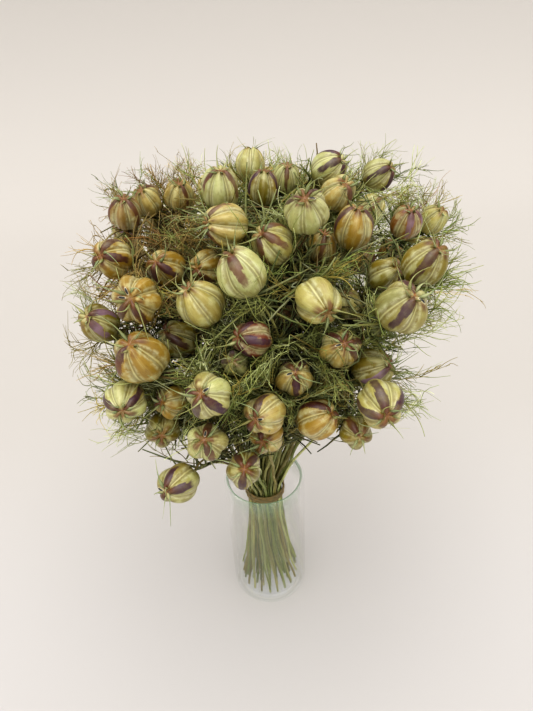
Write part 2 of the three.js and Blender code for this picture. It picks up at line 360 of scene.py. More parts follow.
podLooks = {
    "rows": 36,
    "pointsPerLobe": 12,
    "grooveDepth": 0.155,
    "crownGrooveDepth": 0.24,
    "crownPit": 0.13,
    "ribHeight": 0.025,
    "styleLength": (0.65, 1.25),
    "styleRadius": 0.52 * mm,
    "viewer": (0.0, -0.88, 0.47),  # the side that the bunch is best seen from
    "seed": 100,
}
skins = {
    "mint": paint(200, 203, 140),
    "pale": paint(196, 191, 118),
    "straw": paint(198, 182, 110),
    "beige": paint(198, 178, 106),
    "ochre": paint(174, 142, 50),
    "olive": paint(138, 128, 34),
    "grey": paint(166, 164, 100),
    "rust": paint(142, 92, 38),
    "brown": paint(164, 136, 78),
    "wine": paint(122, 56, 42),
}
stripes = {
    "purple": paint(68, 22, 56),
    "maroon": paint(70, 16, 26),
    "brown": paint(112, 66, 42),
    "lilac": paint(150, 120, 140),
}
# one row for each sprig in turn: skin, stripe, number of lobes, how far lobe 0 is turned from the
# front in degrees, the lobes that are striped, and last any that have split open at the crown
podKinds = [
    ("mint", "brown", 6, 0, (1, 5)), ("olive", "purple", 6, 0, (1, 5)),
    ("mint", "brown", 6, 0, (0,)), ("pale", "brown", 6, 30, ()),
    ("straw", "brown", 7, 10, (1, 5)), ("pale", "brown", 5, 10, (0, 1, 4)),
    ("mint", "brown", 5, -8, (0, 3)), ("mint", "maroon", 6, 0, (2, 4), 1),
    ("beige", "brown", 5, 0, (1,)), ("mint", "purple", 5, 0, (0, 1, 4)),
    ("ochre", "purple", 5, 0, (1, 4)), ("ochre", "brown", 6, 0, (0,)),
    ("grey", "purple", 5, 0, (0, 1)), ("rust", "lilac", 5, 0, (0, 1)),
    ("pale", "brown", 6, 0, ()), ("olive", "maroon", 5, -10, (0, 3)),
    ("grey", "purple", 5, 0, (0, 3), 1), ("olive", "maroon", 5, 0, (1,)),
    ("olive", "lilac", 6, 20, (0,)), ("pale", "brown", 5, 36, ()),
    ("pale", "brown", 8, 10, ()), ("beige", "maroon", 6, 0, (1, 2, 3, 4), 5),
    ("beige", "purple", 5, 0, (0, 2, 3), 4), ("rust", "maroon", 5, 0, (1, 3), 0, 2),
    ("wine", "purple", 5, 0, (0, 1, 4)), ("mint", "lilac", 5, 30, (2, 3)),
    ("pale", "brown", 6, 30, (3,)), ("ochre", "maroon", 5, 0, (4, 3)),
    ("ochre", "purple", 5, 0, (4, 0)), ("ochre", "maroon", 6, 20, (2, 3), 0, 1),
    ("ochre", "maroon", 5, 0, (0, 1, 3)), ("olive", "lilac", 5, 0, (0, 1)),
    ("ochre", "brown", 5, 10, (4,)), ("olive", "maroon", 5, 0, (0, 2)),
    ("brown", "brown", 6, 0, (1, 5)), ("beige", "brown", 6, 0, (2,)),
    ("beige", "brown", 7, 0, (1,)), ("mint", "purple", 6, -10, (1, 5)),
    ("ochre", "maroon", 5, 0, (2, 3)), ("mint", "purple", 5, 0, (0, 3, 4), 1),
    ("olive", "brown", 5, 0, ()), ("mint", "brown", 5, 20, (0, 2), 2),
    ("straw", "purple", 5, 0, (1, 3), 0), ("ochre", "purple", 5, 0, (1,)),
    ("olive", "purple", 5, 0, (0, 2, 3)), ("ochre", "maroon", 5, 0, (2, 4)),
    ("pale", "purple", 5, 0, (0, 1, 4)), ("olive", "brown", 5, 0, (0,)),
    ("grey", "purple", 5, 0, (0, 1, 3), 2), ("mint", "purple", 5, 0, (0, 2)),
    ("ochre", "brown", 6, 0, (1, 3)), ("beige", "maroon", 5, 0, (0, 3), 2),
    ("olive", "purple", 6, 0, (1, 4)), ("pale", "brown", 6, 0, (0, 3)),
    ("straw", "maroon", 5, 0, (0, 2), 1), ("mint", "purple", 5, 0, (1, 3)),
    ("ochre", "brown", 5, 0, (2,)), ("beige", "purple", 5, 0, (0, 2, 4)),
]


def crossAxes(axis, towards=(0.31, 0.22, 0.92)):
    # two directions square to the axis: the part of towards that is square to it, and the one after
    first = unit(np.array(towards) - axis * (axis @ np.array(towards)))
    return first, np.cross(axis, first)


def podShell(surface, pod, kind, rng):
    # a ball with the polar angle t from base to crown and the angle round it v, in radii:
    # out = sin(t)^0.88, up = -cos(t); each of n lobes swells as |cos(n v / 2)|, deeper towards the
    # crown, where the middle sinks to a pit and a fine rib stands in every groove
    skin, stripe, lobes, turned, striped, *opened = kind
    looks = podLooks
    rows, columns = looks["rows"], lobes * looks["pointsPerLobe"]
    t = np.linspace(0.09, math.pi - 0.05, rows)[:, None]
    v = (np.arange(columns) * 2 * math.pi / columns)[None, :]
    rise = (1 - np.cos(t)) / 2 + 0 * v
    lobe = np.abs(np.cos(lobes * v / 2)) + 0 * t
    groove = 1 - lobe
    towardsCrown = smoothStep(rise, 0.35, 1.0) ** 1.5
    depth = looks["grooveDepth"] + looks["crownGrooveDepth"] * towardsCrown
    number = np.floor(lobes * v / (2 * math.pi) + 0.5).astype(int) % lobes + 0 * t.astype(int)
    swell = rng.uniform(-0.06, 0.06, lobes)[number] * lobe
    rib = looks["ribHeight"] * np.exp(-((lobe / 0.12) ** 2)) * (1 - 0.6 * towardsCrown)
    oval = 1 + 0.04 * np.cos(2 * v + rng.uniform(0, 6.28)) + 0.015 * np.sin(3 * v + 4 * t)
    out = np.sin(t) ** 0.88 * (1 + 0.06 * rng.uniform(-1, 1) * np.cos(t))
    up = -np.cos(t) * rng.uniform(1.0, 1.1) + 0 * v
    up -= looks["crownPit"] * np.exp(-((out / 0.24) ** 2)) * (rise > 0.5)
    up += (0.05 - 0.17 * groove) * np.exp(-(((out - 0.34) / 0.2) ** 2)) * (rise > 0.5)
    wide = out * (1 - depth * groove + swell * np.sin(t) + rib) * oval
    front, side = crossAxes(pod["axis"], looks["viewer"])
    spin = math.radians(turned)
    first = front * math.cos(spin) + side * math.sin(spin)
    second = np.cross(pod["axis"], first)
    local = (wide * np.cos(v))[..., None] * first + (wide * np.sin(v))[..., None] * second
    local += up[..., None] * pod["axis"]
    points = pod["middle"] + pod["radius"] * local
    faces, mapping = roundFaces(1, rows, columns)
    caps, capMapping = endFaces(1, rows, columns)
    aside = np.abs((lobes * v / (2 * math.pi) + 0.5) % 1 - 0.5) * 2 + 0 * t
    strength = np.array([rng.uniform(0.85, 1) if one in striped else 0 for one in range(lobes)])
    reach = rng.uniform(0.12, 0.5, lobes)
    split = np.array([1.0 if one in opened else 0.0 for one in range(lobes)])
    base = np.array(skins[skin]) * rng.uniform(0.86, 1.1, lobes)[:, None]
    base = base + (np.array(skins["ochre"]) - base) * (rng.random((lobes, 1)) ** 2) * 0.4
    surface.add(points, [faces, caps], [mapping, capMapping],
                marks=np.stack([aside, rise, out + 0 * v], -1), skin=base[number],
                stripe=np.broadcast_to(stripes[stripe], (rows, columns, 3)),
                lobeLook=np.stack([strength[number], reach[number], split[number]], -1))
    styles(surface, pod, lobes, first, second, rng)


def styles(surface, pod, lobes, first, second, rng):
    # narrow straps from the outer ends of the grooves, flat and leaf-like at first and then thin:
    # each start + A t + B t^2 + C t^3
    looks = podLooks
    steps = 12
    t = np.linspace(0, 1, steps)[None, :, None]
    angle = (np.arange(lobes) + 0.5) * 2 * math.pi / lobes + rng.uniform(-0.15, 0.15, lobes)
    outward = np.cos(angle)[:, None] * first + np.sin(angle)[:, None] * second
    sideways = np.cross(pod["axis"], outward)
    radius = pod["radius"]
    length = radius * rng.uniform(*looks["styleLength"], lobes)[:, None]
    start = pod["middle"] + radius * (0.2 * outward + 0.9 * pod["axis"])
    lift = rng.uniform(0.3, 1.1, lobes)[:, None]
    leave = unit(outward * 0.75 + pod["axis"] * lift) * length
    each = (lobes, 1)
    curl = (outward * rng.uniform(-0.2, 0.5, each) + pod["axis"] * rng.uniform(-0.5, 0.4, each)
            + sideways * rng.uniform(-1.1, 1.1, each)) * length
    hook = (outward * rng.uniform(-0.8, 0.2, each) + sideways * rng.uniform(-0.6, 0.6, each)) * length
    lines = start[:, None] + leave[:, None] * t + curl[:, None] * t ** 2 + hook[:, None] * t ** 3
    lines = keepInBounds(lines)
    share = t[..., 0]
    leafy = 1.3 * np.exp(-(((share - 0.2) / 0.16) ** 2))
    width = looks["styleRadius"] * (0.5 + leafy + 0.35 * (1 - share))
    radii = np.broadcast_to(width * (1 - 0.6 * share ** 3), (lobes, steps))
    green = np.array(paint(150, 170, 122))
    yellow = np.array(paint(168, 164, 92))
    tint = green + (yellow - green) * rng.random(each) * 0.7
    tint = tint[:, None] * (0.8 + 0.45 * t)
    marks = np.broadcast_to(np.array([0.35, 0.3, 1.0]), lines.shape)
    still = np.zeros(lines.shape)
    normals = unit(outward * 0.2 + pod["axis"] + sideways * rng.uniform(-0.6, 0.6, each))
    tubes(surface, lines, radii, 4, normals, 0.4, marks=marks, skin=tint, stripe=tint, lobeLook=still)


limits = {
    "spare": 0.007,  # how far past the frame's own box threads run freely
    "kept": 0.3,  # and how much is kept of what they would run further
}


def keepInBounds(lines):
    # eases what would pass the object's outer limits back towards them
    low, high = np.array(cadBox[0]), np.array(cadBox[1])
    inside = np.clip(lines, low - limits["spare"], high + limits["spare"])
    return inside + (lines - inside) * limits["kept"]


skinTones = {
    "ochreMottle": (150, 120, 28),
    "paleMottle": (224, 224, 172),
    "base": (140, 126, 40),
    "flank": (226, 226, 186),
    "crownInk": (70, 20, 26),
    "crownWedge": (90, 28, 26),
    # painted highlight on the lobes' flanks
    "crease": (222, 220, 168),
    "vein": (112, 80, 18),
    "weave": (92, 68, 26),
    # painted highlight along the lobes' crests
    "ridge": (226, 218, 158),
    # a dark line along each groove, in part painted shade
    "valley": (116, 98, 24),
    "warmCrown": (138, 88, 34),
    "ray": (184, 124, 62),
    "centre": (146, 92, 46),
    "slitEdge": (216, 208, 180),
    "slit": (12, 9, 8),
    "grain": (120, 100, 50),
}


def podSkin():
    # papery skin: mottled ground, a stripe down some lobes that spreads towards the crown and frays
    # at its edges, pale creases, a rusty star and black slits; a painted highlight on the flanks and
    # crests of the lobes and a dark line along each groove that is in part painted shade
    sh, tones = Shader("driedPodSkin"), skinTones
    place = sh.wire(sh.node("ShaderNodeTexCoord"), "Object")
    wrap = sh.wire(sh.node("ShaderNodeUVMap", {"uv_map": "along"}), 0)
    # aside runs from a lobe's middle, 0, to the groove, 1; rise from base to crown; out from the axis
    aside, rise, out = sh.parts(sh.attribute("marks"))
    strength, reach, split = sh.parts(sh.attribute("lobeLook"))
    mottle = sh.noise(place, 120, 4)
    blotch = sh.noise(place, 260, 5, 0.65)
    speckle = sh.noise(place, 1100, 3)
    veins = sh.noise(sh.stretched(wrap, (64, 5, 1)), 1.0, 4, 0.65)
    weave = sh.noise(sh.stretched(wrap, (110, 16, 1), 0.5), 1.0, 3, 0.6)
    skin, stripe = sh.attribute("skin"), sh.attribute("stripe")
    top = sh.step(rise, 0.5, 0.8)
    ochre = sh.over(0.45, skin, tones["ochreMottle"])
    colour = sh.mix(sh.step(mottle, 0.46, 0.66) * 0.6, skin, ochre)
    colour = sh.over(sh.step(mottle, 0.5, 0.34) * 0.5, colour, tones["paleMottle"])
    colour = sh.over(sh.step(rise, 0.34, 0.02) * 0.55, colour, tones["base"])
    # painted highlight: a pale patchy band down both flanks of every lobe
    flank = sh.step(aside, 0.42, 0.66) * sh.step(aside, 1.0, 0.84) * sh.step(blotch, 0.35, 0.6)
    colour = sh.over(flank * 0.62, colour, tones["flank"])
    frayed = aside + (veins - 0.5) * 0.55 + (blotch - 0.5) * 0.25
    half = 0.24 + 0.42 * sh.step(rise, 0.66, 0.98)
    band = sh.step(frayed, half + 0.08, half - 0.03)
    start = reach + (veins - 0.5) * 0.45
    lasting = sh.step(rise - start, 0.0, 0.16)
    nearCrown = sh.step(rise + (blotch - 0.5) * 0.2, 0.78, 0.97)
    ink = sh.over(nearCrown, stripe, tones["crownInk"])
    worn = 0.8 + 0.2 * sh.step(blotch, 0.7, 0.4)
    colour = sh.mix(band * lasting * strength * worn, colour, ink)
    wedge = sh.step(frayed, 0.62, 0.3) * sh.step(rise, 0.84, 0.95) * sh.step(mottle, 0.42, 0.58)
    wedgeInk = sh.over(0.5, stripe, tones["crownWedge"])
    colour = sh.mix(wedge * 0.72, colour, wedgeInk)
    crease = sh.step(aside + (veins - 0.5) * 0.1, 0.86, 0.99) * sh.step(out, 0.3, 0.6)
    colour = sh.over(crease * 0.6, colour, tones["crease"])
    veined = sh.over(0.75, colour, tones["vein"])
    colour = sh.mix(sh.step(veins, 0.52, 0.7) * 0.5, colour, veined)
    colour = sh.over(sh.step(weave, 0.56, 0.7) * 0.2, colour, tones["weave"])
    # painted highlight: pale along the crest of each lobe that has no stripe
    ridge = sh.step(aside, 0.2, 0.0) * sh.step(veins, 0.58, 0.4)
    colour = sh.over(ridge * 0.3 * (1 - strength), colour, tones["ridge"])
    # a dark line along each groove: the skin's own darker line there, deepened by painted shade
    valley = sh.step(aside, 0.62, 0.84) * sh.step(aside, 0.97, 0.88)
    colour = sh.over(valley * 0.5, colour, tones["valley"])
    warm = sh.step(out, 0.72, 0.2) * top * sh.step(mottle + blotch * 0.5, 0.5, 0.9)
    colour = sh.over(warm * 0.65, colour, tones["warmCrown"])
    ray = sh.step(aside, 0.8, 0.96) * sh.step(out, 0.48, 0.2) * top
    colour = sh.over(ray * 0.85, colour, tones["ray"])
    colour = sh.over(sh.step(out, 0.11, 0.04) * top, colour, tones["centre"])
    # a slit is an ellipse: the squares of the distances across and along it, added up
    across, along = aside * out * 11.0, (out - 0.31) * 7.5
    lens = across * across + along * along
    gap = split * top
    colour = sh.over(sh.step(lens, 2.0, 1.3) * gap * 0.8, colour, tones["slitEdge"])
    colour = sh.over(sh.step(lens, 1.1, 0.8) * gap, colour, tones["slit"])
    colour = sh.over((speckle - 0.5) * 0.3 + 0.26, colour, tones["grain"], "SOFT_LIGHT")
    height = veins * 0.6 + mottle * 0.3 + speckle * 0.12 + weave * 0.25
    rough = 0.34 + 0.2 * blotch
    return sh.finish(Base_Color=colour, Roughness=rough, Coat_Weight=0.3, Coat_Roughness=0.32,
                     Normal=sh.bump(height, 0.6, 0.5 * mm))


podMaterial = podSkin()
podKinds += [row[-1] for row in sidePods]
for index, pod in enumerate(pods):
    shell = Surface()
    podShell(shell, pod, podKinds[index], np.random.default_rng(podLooks["seed"] + index))
    piece = shell.make(pod["name"], podMaterial)
    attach(piece, "root")
    if index < len(sprigs):
        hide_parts(sprigs[index]["node"])
print("pods made:", len(pods))


threadLooks = {
    "bractsPerPod": 8,
    "ribRadius": 0.38 * mm,
    "sideRadius": 0.27 * mm,
    "hairRadius": 0.2 * mm,
    "leafSideRadius": 0.34 * mm,
    "leafHairRadius": 0.28 * mm,
    "innerRadius": 0.95 * mm,
    "innerLeaves": 100,
    "innerInside": 20 * mm,
    "innerLength": (12 * mm, 32 * mm),
    # painted shade on the inner leaves: their tint is multiplied by this
    "innerShade": 0.5,
    "sidePlaces": (0.1, 0.2, 0.3, 0.4, 0.5, 0.6, 0.7, 0.8, 0.92),
    "leafPlaces": (0.15, 0.3, 0.45, 0.6, 0.75, 0.95),
    "hairPlaces": (0.15, 0.35, 0.55, 0.75, 0.95),
    "leafHairPlaces": (0.2, 0.45, 0.7, 0.95),
    "sideLength": 19 * mm,
    "hairLength": 13 * mm,
    "overhang": (9 * mm, 25 * mm),
    "clearOfPods": 1.06,
    "shownSideClear": 0.94,
    "crownReach": 1.7,  # how far the columns kept clear over the pods reach, in pod radii
    "shownReach": 3.2,
    "frontReach": 9.0,
    "innerFrontReach": 2.0,
    "frontPoint": (0.0, -0.35, 0.52),
    "leafTufts": 24,
    "leafLength": (24 * mm, 46 * mm),
    "bareBelow": (0.235, 0.275),
    "bareFront": (0.165, 0.215),
    "bareAbove": (0.438, 0.459),
    "frontShorter": 15 * mm,
    # painted shade: the distances out from the bunch's middle over which threads go from dark to their
    # full tint
    "darkInside": (0.06, 0.13),
    "middleDrop": 0.06,
    "groups": 12,
    "seed": 7,
}
greens = np.array([paint(146, 154, 88), paint(122, 136, 72), paint(170, 178, 118), paint(98, 110, 50),
                   paint(150, 136, 66), paint(196, 202, 154)])
browns = np.array([paint(150, 126, 70), paint(126, 106, 52), paint(176, 156, 100), paint(118, 110, 56),
                   paint(138, 98, 52), paint(150, 144, 86)])
tintShares = [0.3, 0.26, 0.16, 0.14, 0.08, 0.06]


def tintsFor(owner, rng):
    # greens, but mostly browns about the high pods of the left side
    chosen = rng.choice(len(greens), len(owner), p=tintShares)
    middle = podMiddles[owner]
    browned = smoothStep(-middle[:, 0], 0.0, 0.05) * smoothStep(middle[:, 2], 0.36, 0.4)
    brown = rng.random(len(owner)) < 0.05 + 0.8 * browned
    light = np.exp(rng.normal(0.0, 0.2, (len(owner), 1)))
    return np.where(brown[:, None], browns[chosen], greens[chosen]) * light


class Threads:
    # many curved threads at once, t from 0 to 1: start + A t + B t^2 and a sideways sine wave
    keys = ("start", "leave", "curl", "swing", "turns", "phase", "owner", "tint")

    def __init__(self, *columns):
        for key, column in zip(self.keys, columns):
            setattr(self, key, column)

    def at(self, t):
        wave = np.sin(self.turns * t + self.phase) - np.sin(self.phase)
        return self.start + self.leave * t + self.curl * t * t + self.swing * wave

    def along(self, t):
        sway = self.swing * self.turns * np.cos(self.turns * t + self.phase)
        return unit(self.leave + 2 * self.curl * t + sway)

    def only(self, chosen):
        return Threads(*(getattr(self, key)[chosen] for key in self.keys))


def waved(start, leave, curl, owner, tint, wave, rng):
    # threads with a sine wave across them, its height the share wave of their length
    count = len(start)
    long = np.linalg.norm(leave, axis=1, keepdims=True)
    swing = unit(np.cross(leave, rng.normal(size=(count, 3)))) * long * wave
    swing = swing * rng.uniform(0.3, 1.2, (count, 1))
    turns = rng.uniform(2.0, 6.0, (count, 1))
    return Threads(start, leave, curl, swing, turns, rng.uniform(0, 6.28, (count, 1)), owner, tint)


def offshoots(parents, places, length, wave, rng):
    # side threads from the given places on every parent, to one side and the other in turn: they
    # leave at some twenty to forty degrees to the parent, then bend back towards it, with some chance
    count = len(parents.start)
    starts, leaves, curls, owners, tints = [], [], [], [], []
    for order, place in enumerate(places):
        t = np.clip(place + rng.uniform(-0.04, 0.04, (count, 1)), 0, 1)
        forward = parents.along(t)
        plane = unit(np.cross(forward, rng.normal(size=(count, 3))))
        handed = np.where((order + parents.owner) % 2 == 0, 1.0, -1.0)[:, None]
        long = length * rng.uniform(0.45, 1.25, (count, 1)) * (1 - 0.25 * t)
        starts.append(parents.at(t))
        leaves.append(unit(forward + plane * handed * rng.uniform(0.3, 0.8, (count, 1))) * long)
        bend = forward * 0.15 - plane * handed * 0.35 + rng.normal(size=(count, 3)) * 0.42
        curls.append(bend * rng.uniform(0.4, 1.2, (count, 1)) * long)
        owners.append(parents.owner)
        tints.append(parents.tint * np.exp(rng.normal(0.0, 0.16, (count, 1))))
    joined = [np.concatenate(column) for column in (starts, leaves, curls, owners, tints)]
    return waved(*joined, wave, rng)


def keepOffPods(lines):
    # pushes every point that is inside a pod out to just over its skin
    for middle, radius in zip(podMiddles, podRadii):
        away = lines - middle
        distance = np.linalg.norm(away, axis=-1, keepdims=True)
        wanted = radius * threadLooks["clearOfPods"]
        moved = middle + away * (wanted / np.maximum(distance, 1e-9))
        lines = np.where(distance < wanted, moved, lines)
    return lines


# every pod's outer side, turned to the viewer too unless it faces well away
bunchMiddle = podMiddles.mean(0) - np.array([0, 0, threadLooks["middleDrop"]])
outwards = unit(podMiddles - bunchMiddle)
viewerSide = unit(np.array(podLooks["viewer"]))
seen = (outwards @ podLooks["viewer"] > -0.3)[:, None]
shownSides = unit(outwards + 0.9 * viewerSide * seen)
frontSides = unit(np.array(threadLooks["frontPoint"]) - podMiddles)


def thinOut(threads, rng, most=0.24, frontReach=threadLooks["frontReach"], inside=0.0):
    # leaves out most threads that would lie over a pod's crown, its outer side or the side turned to
    # the front: those with more than the share most of their length in a round column that stands
    # there. The column to the front counts most for pods in front; inside keeps tips that far back
    t = np.linspace(0.1, 1, 7)[:, None, None]
    lines = threads.at(t)
    covering = np.zeros(len(threads.start))
    reaches = threadLooks["crownReach"], threadLooks["shownReach"], frontReach
    for middle, radius, axis, shown, front in zip(podMiddles, podRadii, podAxes, shownSides, frontSides):
        away = lines - middle
        for direction, far in zip((axis, shown, front), reaches):
            up = away @ direction
            wide = np.linalg.norm(away - up[..., None] * direction, axis=-1)
            over = (up > 0.25 * radius) & (up < far * radius) & (wide < 0.98 * radius)
            weight = 1.7 - 1.3 * smoothStep(middle[1], 0.03, 0.09) if direction is front else 1
            covering = np.maximum(covering, over.mean(0) * weight)
    kept = (covering < most) | (rng.random(len(covering)) > threadLooks["shownSideClear"])
    # and those whose tips stand out too far past the pods that lie in the same direction
    tips = threads.at(1.0)
    away = tips - bunchMiddle
    distance = np.linalg.norm(away, axis=1)
    reach = podMiddles - bunchMiddle
    along = unit(away) @ reach.T
    near = along > 0.86 * np.linalg.norm(reach, axis=1)
    edge = np.where(near, along + podRadii, 0).max(1)
    facing = unit(away) @ viewerSide
    shorter = inside + threadLooks["frontShorter"] * smoothStep(facing, 0.25, 0.75)
    over = smoothStep(distance - edge + shorter, *threadLooks["overhang"])
    # and the lowest ones, above all those low in front
    back, up = tips[:, 1], tips[:, 2]
    clear = smoothStep(up, *threadLooks["bareBelow"]) * smoothStep(up + back, *threadLooks["bareFront"])
    over = np.maximum(over, 0.99 * (1 - clear))
    # and the highest ones, above all those high at the back
    high = smoothStep(up + 0.22 * back, *threadLooks["bareAbove"])
    over = np.maximum(over, 0.95 * high)
    return threads.only(kept & (rng.random(len(over)) > over * 1.02))


def drawThreads(surface, threads, steps, radius, sides):
    # threads as tubes that narrow to 0.45 of their radius, with painted shade that darkens them deep in
    # the bunch
    t = np.linspace(0, 1, steps)[:, None, None]
    lines = np.swapaxes(threads.at(t), 0, 1)
    lines = keepInBounds(keepOffPods(lines))
    share = np.swapaxes(t, 0, 1)
    normals = unit(np.cross(threads.leave, threads.curl) + 1e-9)
    radii = radius * (1 - 0.55 * share[..., 0]) + 0 * lines[..., 0]
    # painted shade: the tint is darker towards the bunch's middle, where the threads about it shade it
    distance = np.linalg.norm(lines - bunchMiddle, axis=-1, keepdims=True)
    outer = smoothStep(distance, *threadLooks["darkInside"])
    tint = threads.tint[:, None] * (0.85 + 0.3 * share) * (0.5 + 0.75 * outer)
    tubes(surface, lines, radii, sides, normals, tint=tint)


def bracts(rng):
    # the ribs of each pod's bracts: they leave its base all round, swing out and bend over it. In pod
    # radii, out = (3.9 - 0.4 s) t - (3.5 - 1.5 s) t^2 and up = h (1.6 t + 0.7 t^2), where the slack s
    # and the height h are left to chance
    each = threadLooks["bractsPerPod"]
    owner = np.repeat(np.arange(len(pods)), each)
    axis, radius = podAxes[owner], podRadii[owner][:, None]
    sides = np.array([crossAxes(one) for one in podAxes])[owner]
    angle = np.tile(np.arange(each) * 2 * math.pi / each, len(pods))
    angle = angle + rng.uniform(-0.3, 0.3, len(owner)) + owner * 1.7
    outward = sides[:, 0] * np.cos(angle)[:, None] + sides[:, 1] * np.sin(angle)[:, None]
    slack = rng.uniform(0.2, 1.5, (len(owner), 1))
    tall = rng.uniform(0.4, 1.1, (len(owner), 1))
    around = np.cross(axis, outward) * rng.uniform(-1.2, 1.2, (len(owner), 1))
    start = podMiddles[owner] - axis * radius * 1.02
    leave = (outward * (3.9 - 0.4 * slack) + axis * 1.6 * tall) * radius
    curl = (outward * (-3.5 + 1.5 * slack) + axis * 0.7 * tall + around) * radius
    return waved(start, leave, curl, owner, tintsFor(owner, rng), 0.02, rng)


upperStems = np.array([through(sprig["stem"][4:], 80) for sprig in sprigs])
lastPoint = upperStems.shape[1] - 1


def leafRibs(rng):
    # the ribs of finely cut leaves up the free part of each stem, leaning out and upwards
    tufts = threadLooks["leafTufts"]
    owner = np.repeat(np.arange(len(sprigs)), tufts)
    share = np.tile(np.linspace(0, 1, tufts) ** 0.7 * 0.56 + 0.41, len(sprigs))
    share = share + rng.uniform(-0.04, 0.03, len(owner))
    place = np.clip((share * lastPoint).astype(int), 1, lastPoint)
    start = upperStems[owner, place]
    forward = unit(start - upperStems[owner, place - 1])
    aside = unit(np.cross(forward, rng.normal(size=(len(owner), 3))))
    long = rng.uniform(*threadLooks["leafLength"], (len(owner), 1))
    leave = (forward * 0.55 + aside * 0.85) * long
    curl = (forward * 0.45 - aside * 0.2 + rng.normal(size=(len(owner), 3)) * 0.25) * long
    return waved(start, leave, curl, owner, tintsFor(owner, rng), 0.03, rng)


def innerLeaves(rng):
    # broad leaves close to the upper stems, inside the bunch, darkened by painted shade: they leave a
    # stem below its pod and lean out; innerInside keeps them back from the bunch's outside
    owner = np.repeat(np.arange(len(sprigs)), threadLooks["innerLeaves"])
    share = rng.uniform(0.55, 1.0, len(owner))
    start = upperStems[owner, (share * lastPoint).astype(int)]
    aside = unit(rng.normal(size=(len(owner), 3)) * np.array([1.0, 1.0, 0.55]))
    long = rng.uniform(*threadLooks["innerLength"], (len(owner), 1))
    leave = aside * long
    curl = rng.normal(size=(len(owner), 3)) * 0.4 * long
    # painted shade: the inner leaves' tint is darkened by this share, as shade deep in the bunch
    tint = tintsFor(owner, rng) * threadLooks["innerShade"]
    return waved(start, leave, curl, owner, tint, 0.04, rng)


def threadSkin():
    sh = Shader("driedThread")
    place = sh.wire(sh.node("ShaderNodeTexCoord"), "Object")
    dry = sh.step(sh.noise(place, 160, 2), 0.4, 0.7)
    colour = sh.over(dry * 0.4, sh.attribute("tint"), (142, 122, 48))
    return sh.finish(Base_Color=colour, Roughness=0.6)


threadMaterial = threadSkin()
threadRng = np.random.default_rng(threadLooks["seed"])


def grown(parents, places, length, wave):
    # side threads on parents that were kept, thinned out in their turn
    young = offshoots(parents, threadLooks[places], threadLooks[length], wave, threadRng)
    return thinOut(young, threadRng)


ribs = thinOut(bracts(threadRng), threadRng, 0.5)
sideThreads = grown(ribs, "sidePlaces", "sideLength", 0.08)
hairs = grown(sideThreads, "hairPlaces", "hairLength", 0.1)
leafLines = thinOut(leafRibs(threadRng), threadRng, 0.4)
leafSides = grown(leafLines, "leafPlaces", "sideLength", 0.08)
leafHairs = grown(leafSides, "leafHairPlaces", "hairLength", 0.1)
inner = thinOut(innerLeaves(threadRng), threadRng, 0.24, threadLooks["innerFrontReach"],
                threadLooks["innerInside"])
# each kind of thread: its points along, its radius and its points round
layers = [
    (inner, 5, "innerRadius", 3), (ribs, 12, "ribRadius", 4), (sideThreads, 7, "sideRadius", 3),
    (hairs, 6, "hairRadius", 3), (leafLines, 9, "ribRadius", 3), (leafSides, 6, "leafSideRadius", 3),
    (leafHairs, 5, "leafHairRadius", 3),
]
size = math.ceil(len(pods) / threadLooks["groups"])
for group in range(threadLooks["groups"]):
    web = Surface()
    for threads, steps, radius, sides in layers:
        chosen = threads.owner // size == group
        if chosen.any():
            drawThreads(web, threads.only(chosen), steps, threadLooks[radius], sides)
    piece = web.make(f"bracts_{group + 1}", threadMaterial)
    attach(piece, "root")
    piece.data.calc_loop_triangles()
    print("threads made:", piece.name, len(piece.data.loop_triangles), "triangles")


stemLooks = {
    "points": 72,
    "sides": 8,
    "sway": 0.8 * mm,
    "stalks": 46,
    "stalkRadius": (0.7 * mm, 1.25 * mm),
    "stalkTop": 0.24,
    "branchRadius": 0.95 * mm,
    "light": 1.24,
    "tie": 0.14,
    "seed": 21,
}
stemTints = stemLooks["light"] * np.array([
    paint(140, 150, 80), paint(98, 110, 50), paint(176, 180, 118), paint(80, 84, 34),
    paint(156, 154, 92), paint(120, 110, 54)])


def stemSkin():
    sh = Shader("driedStem")
    wrap = sh.wire(sh.node("ShaderNodeUVMap", {"uv_map": "along"}), 0)
    place = sh.wire(sh.node("ShaderNodeTexCoord"), "Object")
    streak = sh.noise(sh.stretched(wrap, (9, 26, 1)), 1.0, 4, 0.6)
    patch = sh.noise(place, 60, 3)
    colour = sh.over(sh.step(streak, 0.45, 0.66) * 0.6, sh.attribute("tint"), (84, 80, 38))
    colour = sh.over(sh.step(patch, 0.5, 0.7) * 0.4, colour, (168, 162, 110))
    return sh.finish(Base_Color=colour, Roughness=0.55, Normal=sh.bump(streak, 0.35, 0.3 * mm))


def stemTubes(made, lines, radii, sides, rng):
    # round tubes along the lines, each in one of the tints, darker or lighter by chance
    count, points = lines.shape[:2]
    tint = stemTints[rng.integers(len(stemTints), size=count)] * rng.uniform(0.65, 1.25, (count, 1))
    normals = np.tile([1.0, 0.0, 0.0], (count, 1))
    tubes(made, lines, radii, sides, normals, tint=tint[:, None] * np.ones((1, points, 1)))


